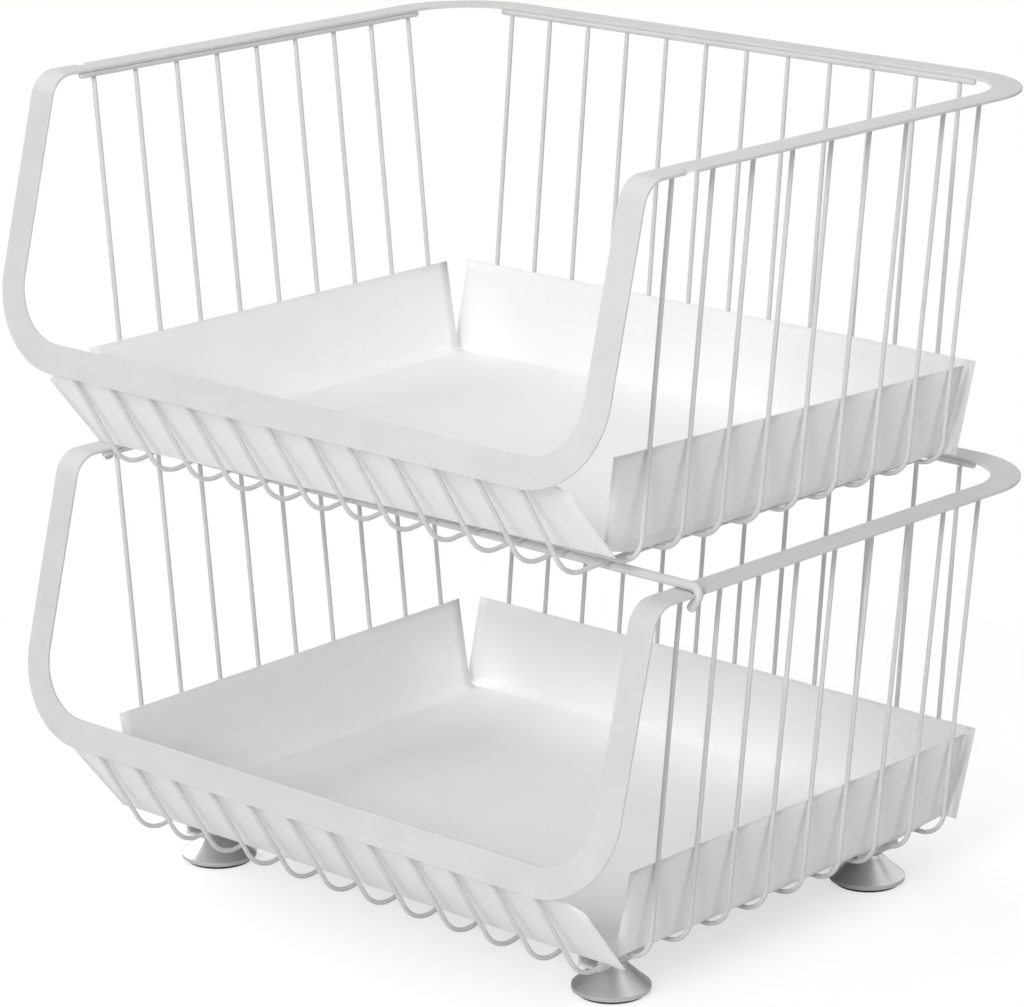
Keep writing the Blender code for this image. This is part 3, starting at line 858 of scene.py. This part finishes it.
def add_liner(prefix, body, place, lifts, side_reach):
    """One basket's liner, thickened inwards from its outer face."""
    name = f"{prefix}_liner"
    mesh = liner_mesh(name, lifts, side_reach)
    piece = add_piece(f"{name}_sheet", mesh, body, "white_sheet", [name], place)
    solidify = piece.modifiers.new("thickness", "SOLIDIFY")
    solidify.thickness = liner_thickness
    solidify.offset = 1
    solidify.use_even_offset = True
    solidify.use_quality_normals = True


# Crossbar, rear support, channels, feet and pads


def add_crossbar():
    """The rod whose ends hook through the lower rim's notches."""
    bend_x = half_width - notch_depth
    turn = math.pi / 2 + hook_tail_angle
    corner_x = bend_x + hook_bend_radius * math.tan(turn / 2)
    tail_x = corner_x - hook_tail_length * math.sin(hook_tail_angle)
    tail_z = crossbar_z - hook_tail_length * math.cos(hook_tail_angle)
    y = crossbar_y
    points = [(-tail_x, y, tail_z), (-corner_x, y, crossbar_z),
              (corner_x, y, crossbar_z), (tail_x, y, tail_z)]
    radii = (hook_bend_radius, hook_bend_radius)
    curve = rod_curve("crossbar", points, radii, crossbar_radius)
    add_piece("upper_crossbar_coated", curve, "upper_basket", "white_coated_steel",
              ["upper_crossbar"], upper_place)


def add_rear_support():
    """The bent rod whose two arms reach back onto the lower rim."""
    x = long_wire_xs()[-2]
    front = back_y - rear_support_from_back
    end = back_y + upper_shift - strip_width / 2
    points = [(-x, end, crossbar_z), (-x, front, crossbar_z),
              (x, front, crossbar_z), (x, end, crossbar_z)]
    radii = (rear_support_bend_radius, rear_support_bend_radius)
    curve = rod_curve("rear_support", points, radii, crossbar_radius)
    add_piece("upper_rear_support_coated", curve, "upper_basket", "white_coated_steel",
              ["upper_rear_support"], upper_place)


def channel_mesh(name):
    """A U channel along Y with eased edges, open upwards."""
    half = channel_width / 2
    outline = [(-half, 0), (half, 0), (half, channel_height), (half - channel_wall, channel_height),
               (half - channel_wall, channel_wall), (channel_wall - half, channel_wall),
               (channel_wall - half, channel_height), (-half, channel_height)]
    bm = bmesh.new()
    face = bm.faces.new([bm.verts.new((x, -channel_length / 2, z)) for x, z in outline])
    grown = bmesh.ops.extrude_face_region(bm, geom=[face])
    moved = [item for item in grown["geom"] if isinstance(item, bmesh.types.BMVert)]
    bmesh.ops.translate(bm, verts=moved, vec=(0, channel_length, 0))
    bmesh.ops.recalc_face_normals(bm, faces=bm.faces)
    bmesh.ops.bevel(bm, geom=list(bm.edges), offset=channel_round,
                    segments=channel_round_segments, profile=0.5, affect="EDGES")
    return mesh_from(bm, name)


def turned_mesh(name, profile, sides):
    """A solid turned round Z from a profile that starts and ends on the axis."""
    bm = bmesh.new()
    verts = [bm.verts.new((r, 0, z)) for r, z in profile]
    edges = [bm.edges.new(pair) for pair in zip(verts, verts[1:])]
    bmesh.ops.spin(bm, geom=verts + edges, cent=(0, 0, 0), axis=(0, 0, 1),
                   angle=math.tau, steps=sides, use_duplicate=False)
    bmesh.ops.remove_doubles(bm, verts=bm.verts, dist=merge_distance)
    return mesh_from(bm, name)


def foot_profile():
    """The threaded stud and the bell with its rolled lip, from the top down."""
    core = stud_diameter / 2 - thread_depth
    top = liner_underside - stud_top_clearance - foot_top
    profile = [(0, top), (core, top)]
    turns = int(top / thread_pitch)
    for i in range(turns):
        z = top - thread_pitch * i
        profile += [(core + thread_depth, z - thread_pitch / 2), (core, z - thread_pitch)]
    profile.append((core, 0))
    bell_height = foot_height - foot_lip_height
    for i in range(foot_profile_steps + 1):
        share = i / foot_profile_steps
        radius = between(foot_neck_radius, foot_radius, share ** foot_flare_share)
        profile.append((radius, -bell_height * share))
    r = foot_lip_round
    for i in range(round_steps + 1):
        angle = -math.pi / 2 * i / round_steps
        profile.append((foot_radius - r + r * math.cos(angle), r - foot_height + r * math.sin(angle)))
    profile.append((0, -foot_height))
    return profile


def pad_profile():
    """A disc with eased edges and round grooves in its sole."""
    r = pad_round
    profile = [(0, 0)]
    for i in range(round_steps + 1):
        angle = math.pi / 2 * (1 - i / round_steps)
        profile.append((pad_radius - r + r * math.cos(angle), r * math.sin(angle) - r))
    for i in range(round_steps + 1):
        angle = -math.pi / 2 * i / round_steps
        profile.append((pad_radius - r + r * math.cos(angle), r - pad_thickness + r * math.sin(angle)))
    for groove in reversed(pad_groove_radii):
        profile += [(groove + pad_groove_width / 2, -pad_thickness),
                    (groove, pad_groove_depth - pad_thickness),
                    (groove - pad_groove_width / 2, -pad_thickness)]
    profile.append((0, -pad_thickness))
    return profile


def add_feet():
    """Four channels, each with its screwed foot and the foot's pad."""
    xs = long_wire_xs()
    ys = cross_wire_ys()
    x = (xs[-1] + xs[-2]) / 2
    front = (ys[0] + ys[1]) / 2
    back = (ys[-1] + ys[-2]) / 2
    corners = {"front_left": (-x, front), "front_right": (x, front),
               "back_left": (-x, back), "back_right": (x, back)}
    up = Vector((0, 0, 1))
    for corner, (at_x, at_y) in corners.items():
        place = lower_place + Vector((at_x, at_y, 0))
        add_piece(f"{corner}_channel_coated", channel_mesh("channel"), "lower_basket",
                  "white_coated_steel", [f"{corner}_channel"], place + up * channel_bottom)
        foot = turned_mesh("foot", foot_profile(), foot_sides)
        add_piece(f"{corner}_foot_nickel", foot, f"{corner}_foot", "satin_nickel",
                  [f"{corner}_foot"], place + up * foot_top)
        pad = turned_mesh("pad", pad_profile(), foot_sides)
        add_piece(f"{corner}_pad_rubber", pad, f"{corner}_pad", "dark_rubber",
                  [f"{corner}_pad"], place + up * pad_top)


for prefix, body, place, dips in (
        ("lower", "lower_basket", lower_place, lower_front_dips),
        ("upper", "upper_basket", upper_place, upper_front_dips)):
    add_rim(prefix, body, place)
    add_wires(prefix, body, place, dips)
    beads = beads_mesh(f"{prefix}_beads", basket_beads())
    add_piece(f"{prefix}_weld_beads", beads, body, "white_coated_steel", [], place)
add_liner("lower", "lower_liner", lower_place, lower_liner_lifts, lower_side_flap_reach)
add_liner("upper", "upper_liner", upper_place, upper_liner_lifts, upper_side_flap_reach)
add_crossbar()
add_rear_support()
add_feet()

for node_name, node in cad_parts.items():
    if "liner" in node_name:
        finish = "white_sheet"
    elif "pad" in node_name:
        finish = "dark_rubber"
    elif "foot" in node_name:
        finish = "satin_nickel"
    else:
        finish = "white_coated_steel"
    for material_slot in node.material_slots:
        material_slot.material = finishes[finish]


# Room, light and camera


def add_floor():
    """A pale floor that looks white to the camera away from the object's shadow."""
    mesh = bpy.data.meshes.new("floor")
    half = floor_size / 2
    mesh.from_pydata([(-half, -half, 0), (half, -half, 0), (half, half, 0), (-half, half, 0)],
                     [], [(0, 1, 2, 3)])
    floor = bpy.data.objects.new("floor", mesh)
    bpy.context.scene.collection.objects.link(floor)
    n = Nodes("pale_floor")
    n.shader.inputs["Base Color"].default_value = floor_colour
    n.shader.inputs["Roughness"].default_value = 0.9
    n.shader.inputs["Specular IOR Level"].default_value = 0.1
    path = n.add("ShaderNodeLightPath")
    lit = n.add("ShaderNodeBsdfDiffuse", {"Color": floor_shade})
    glow = n.add("ShaderNodeEmission", {"Color": white, "Strength": floor_glow})
    near = n.add("ShaderNodeAddShader")
    n.tree.links.new(lit.outputs[0], near.inputs[0])
    n.tree.links.new(glow.outputs[0], near.inputs[1])
    far = n.add("ShaderNodeEmission", {"Color": white, "Strength": 1})
    distance = n.add("ShaderNodeVectorMath", {0: n.place()}, operation="LENGTH")
    reach = n.add("ShaderNodeMapRange", {"Value": distance.outputs["Value"],
                                         "From Min": floor_near, "From Max": floor_far})
    shown = n.add("ShaderNodeMixShader", {0: reach.outputs["Result"]})
    n.tree.links.new(near.outputs[0], shown.inputs[1])
    n.tree.links.new(far.outputs[0], shown.inputs[2])
    choice = n.add("ShaderNodeMixShader")
    n.tree.links.new(path.outputs["Is Camera Ray"], choice.inputs[0])
    n.tree.links.new(n.shader.outputs[0], choice.inputs[1])
    n.tree.links.new(shown.outputs[0], choice.inputs[2])
    output = n.tree.nodes["Material Output"]
    n.tree.links.new(choice.outputs[0], output.inputs["Surface"])
    mesh.materials.append(n.material)


def add_world():
    """White where it is seen directly or in gloss, and a soft grey as light."""
    world = bpy.data.worlds.new("room")
    bpy.context.scene.world = world
    world.use_nodes = True
    tree = world.node_tree
    tree.nodes.clear()
    path = tree.nodes.new("ShaderNodeLightPath")
    seen = tree.nodes.new("ShaderNodeMath")
    seen.operation = "MAXIMUM"
    tree.links.new(path.outputs["Is Camera Ray"], seen.inputs[0])
    glossy = tree.nodes.new("ShaderNodeMath")
    glossy.operation = "MAXIMUM"
    tree.links.new(path.outputs["Is Glossy Ray"], glossy.inputs[0])
    tree.links.new(path.outputs["Is Transmission Ray"], glossy.inputs[1])
    tree.links.new(glossy.outputs[0], seen.inputs[1])
    mix = tree.nodes.new("ShaderNodeMixShader")
    tree.links.new(seen.outputs[0], mix.inputs[0])
    for socket, strength in ((1, room_grey), (2, 1)):
        background = tree.nodes.new("ShaderNodeBackground")
        background.inputs["Color"].default_value = white
        background.inputs["Strength"].default_value = strength
        tree.links.new(background.outputs[0], mix.inputs[socket])
    output = tree.nodes.new("ShaderNodeOutputWorld")
    tree.links.new(mix.outputs[0], output.inputs["Surface"])


def add_lamp(name, place, size, power):
    """A square soft lamp that faces the middle of the object."""
    lamp = bpy.data.lights.new(name, "AREA")
    lamp.shape = "SQUARE"
    lamp.size = size
    lamp.energy = power
    holder = bpy.data.objects.new(name, lamp)
    bpy.context.scene.collection.objects.link(holder)
    holder.location = place
    direction = Vector(lamps_aim) - Vector(place)
    holder.rotation_mode = "QUATERNION"
    holder.rotation_quaternion = direction.to_track_quat("-Z", "Y")


def add_camera():
    """The photograph's view, as a place and a direction round a point between the baskets."""
    a, e = camera_azimuth, camera_elevation
    target = upper_place + Vector((camera_target_x, camera_target_behind, -camera_target_drop))
    ahead = Vector((-math.sin(a) * math.cos(e), math.cos(a) * math.cos(e), -math.sin(e)))
    right = Vector((math.cos(a), math.sin(a), 0))
    up = right.cross(ahead)
    c, s = math.cos(camera_roll), math.sin(camera_roll)
    turned = Matrix((right * c + up * s, up * c - right * s, -ahead)).transposed()
    lens = bpy.data.cameras.new("camera")
    lens.sensor_width = sensor_width
    lens.lens = camera_focal_pixels * sensor_width / photo_width
    lens.clip_start = camera_nearest
    lens.clip_end = camera_farthest
    camera = bpy.data.objects.new("camera", lens)
    bpy.context.scene.collection.objects.link(camera)
    camera.matrix_world = turned.to_4x4()
    camera.location = target - ahead * camera_distance
    bpy.context.scene.camera = camera


add_floor()
add_world()
for name, place, size, power in lamps:
    add_lamp(name, place, size, power)
add_camera()
bpy.context.scene.view_settings.view_transform = "Standard"
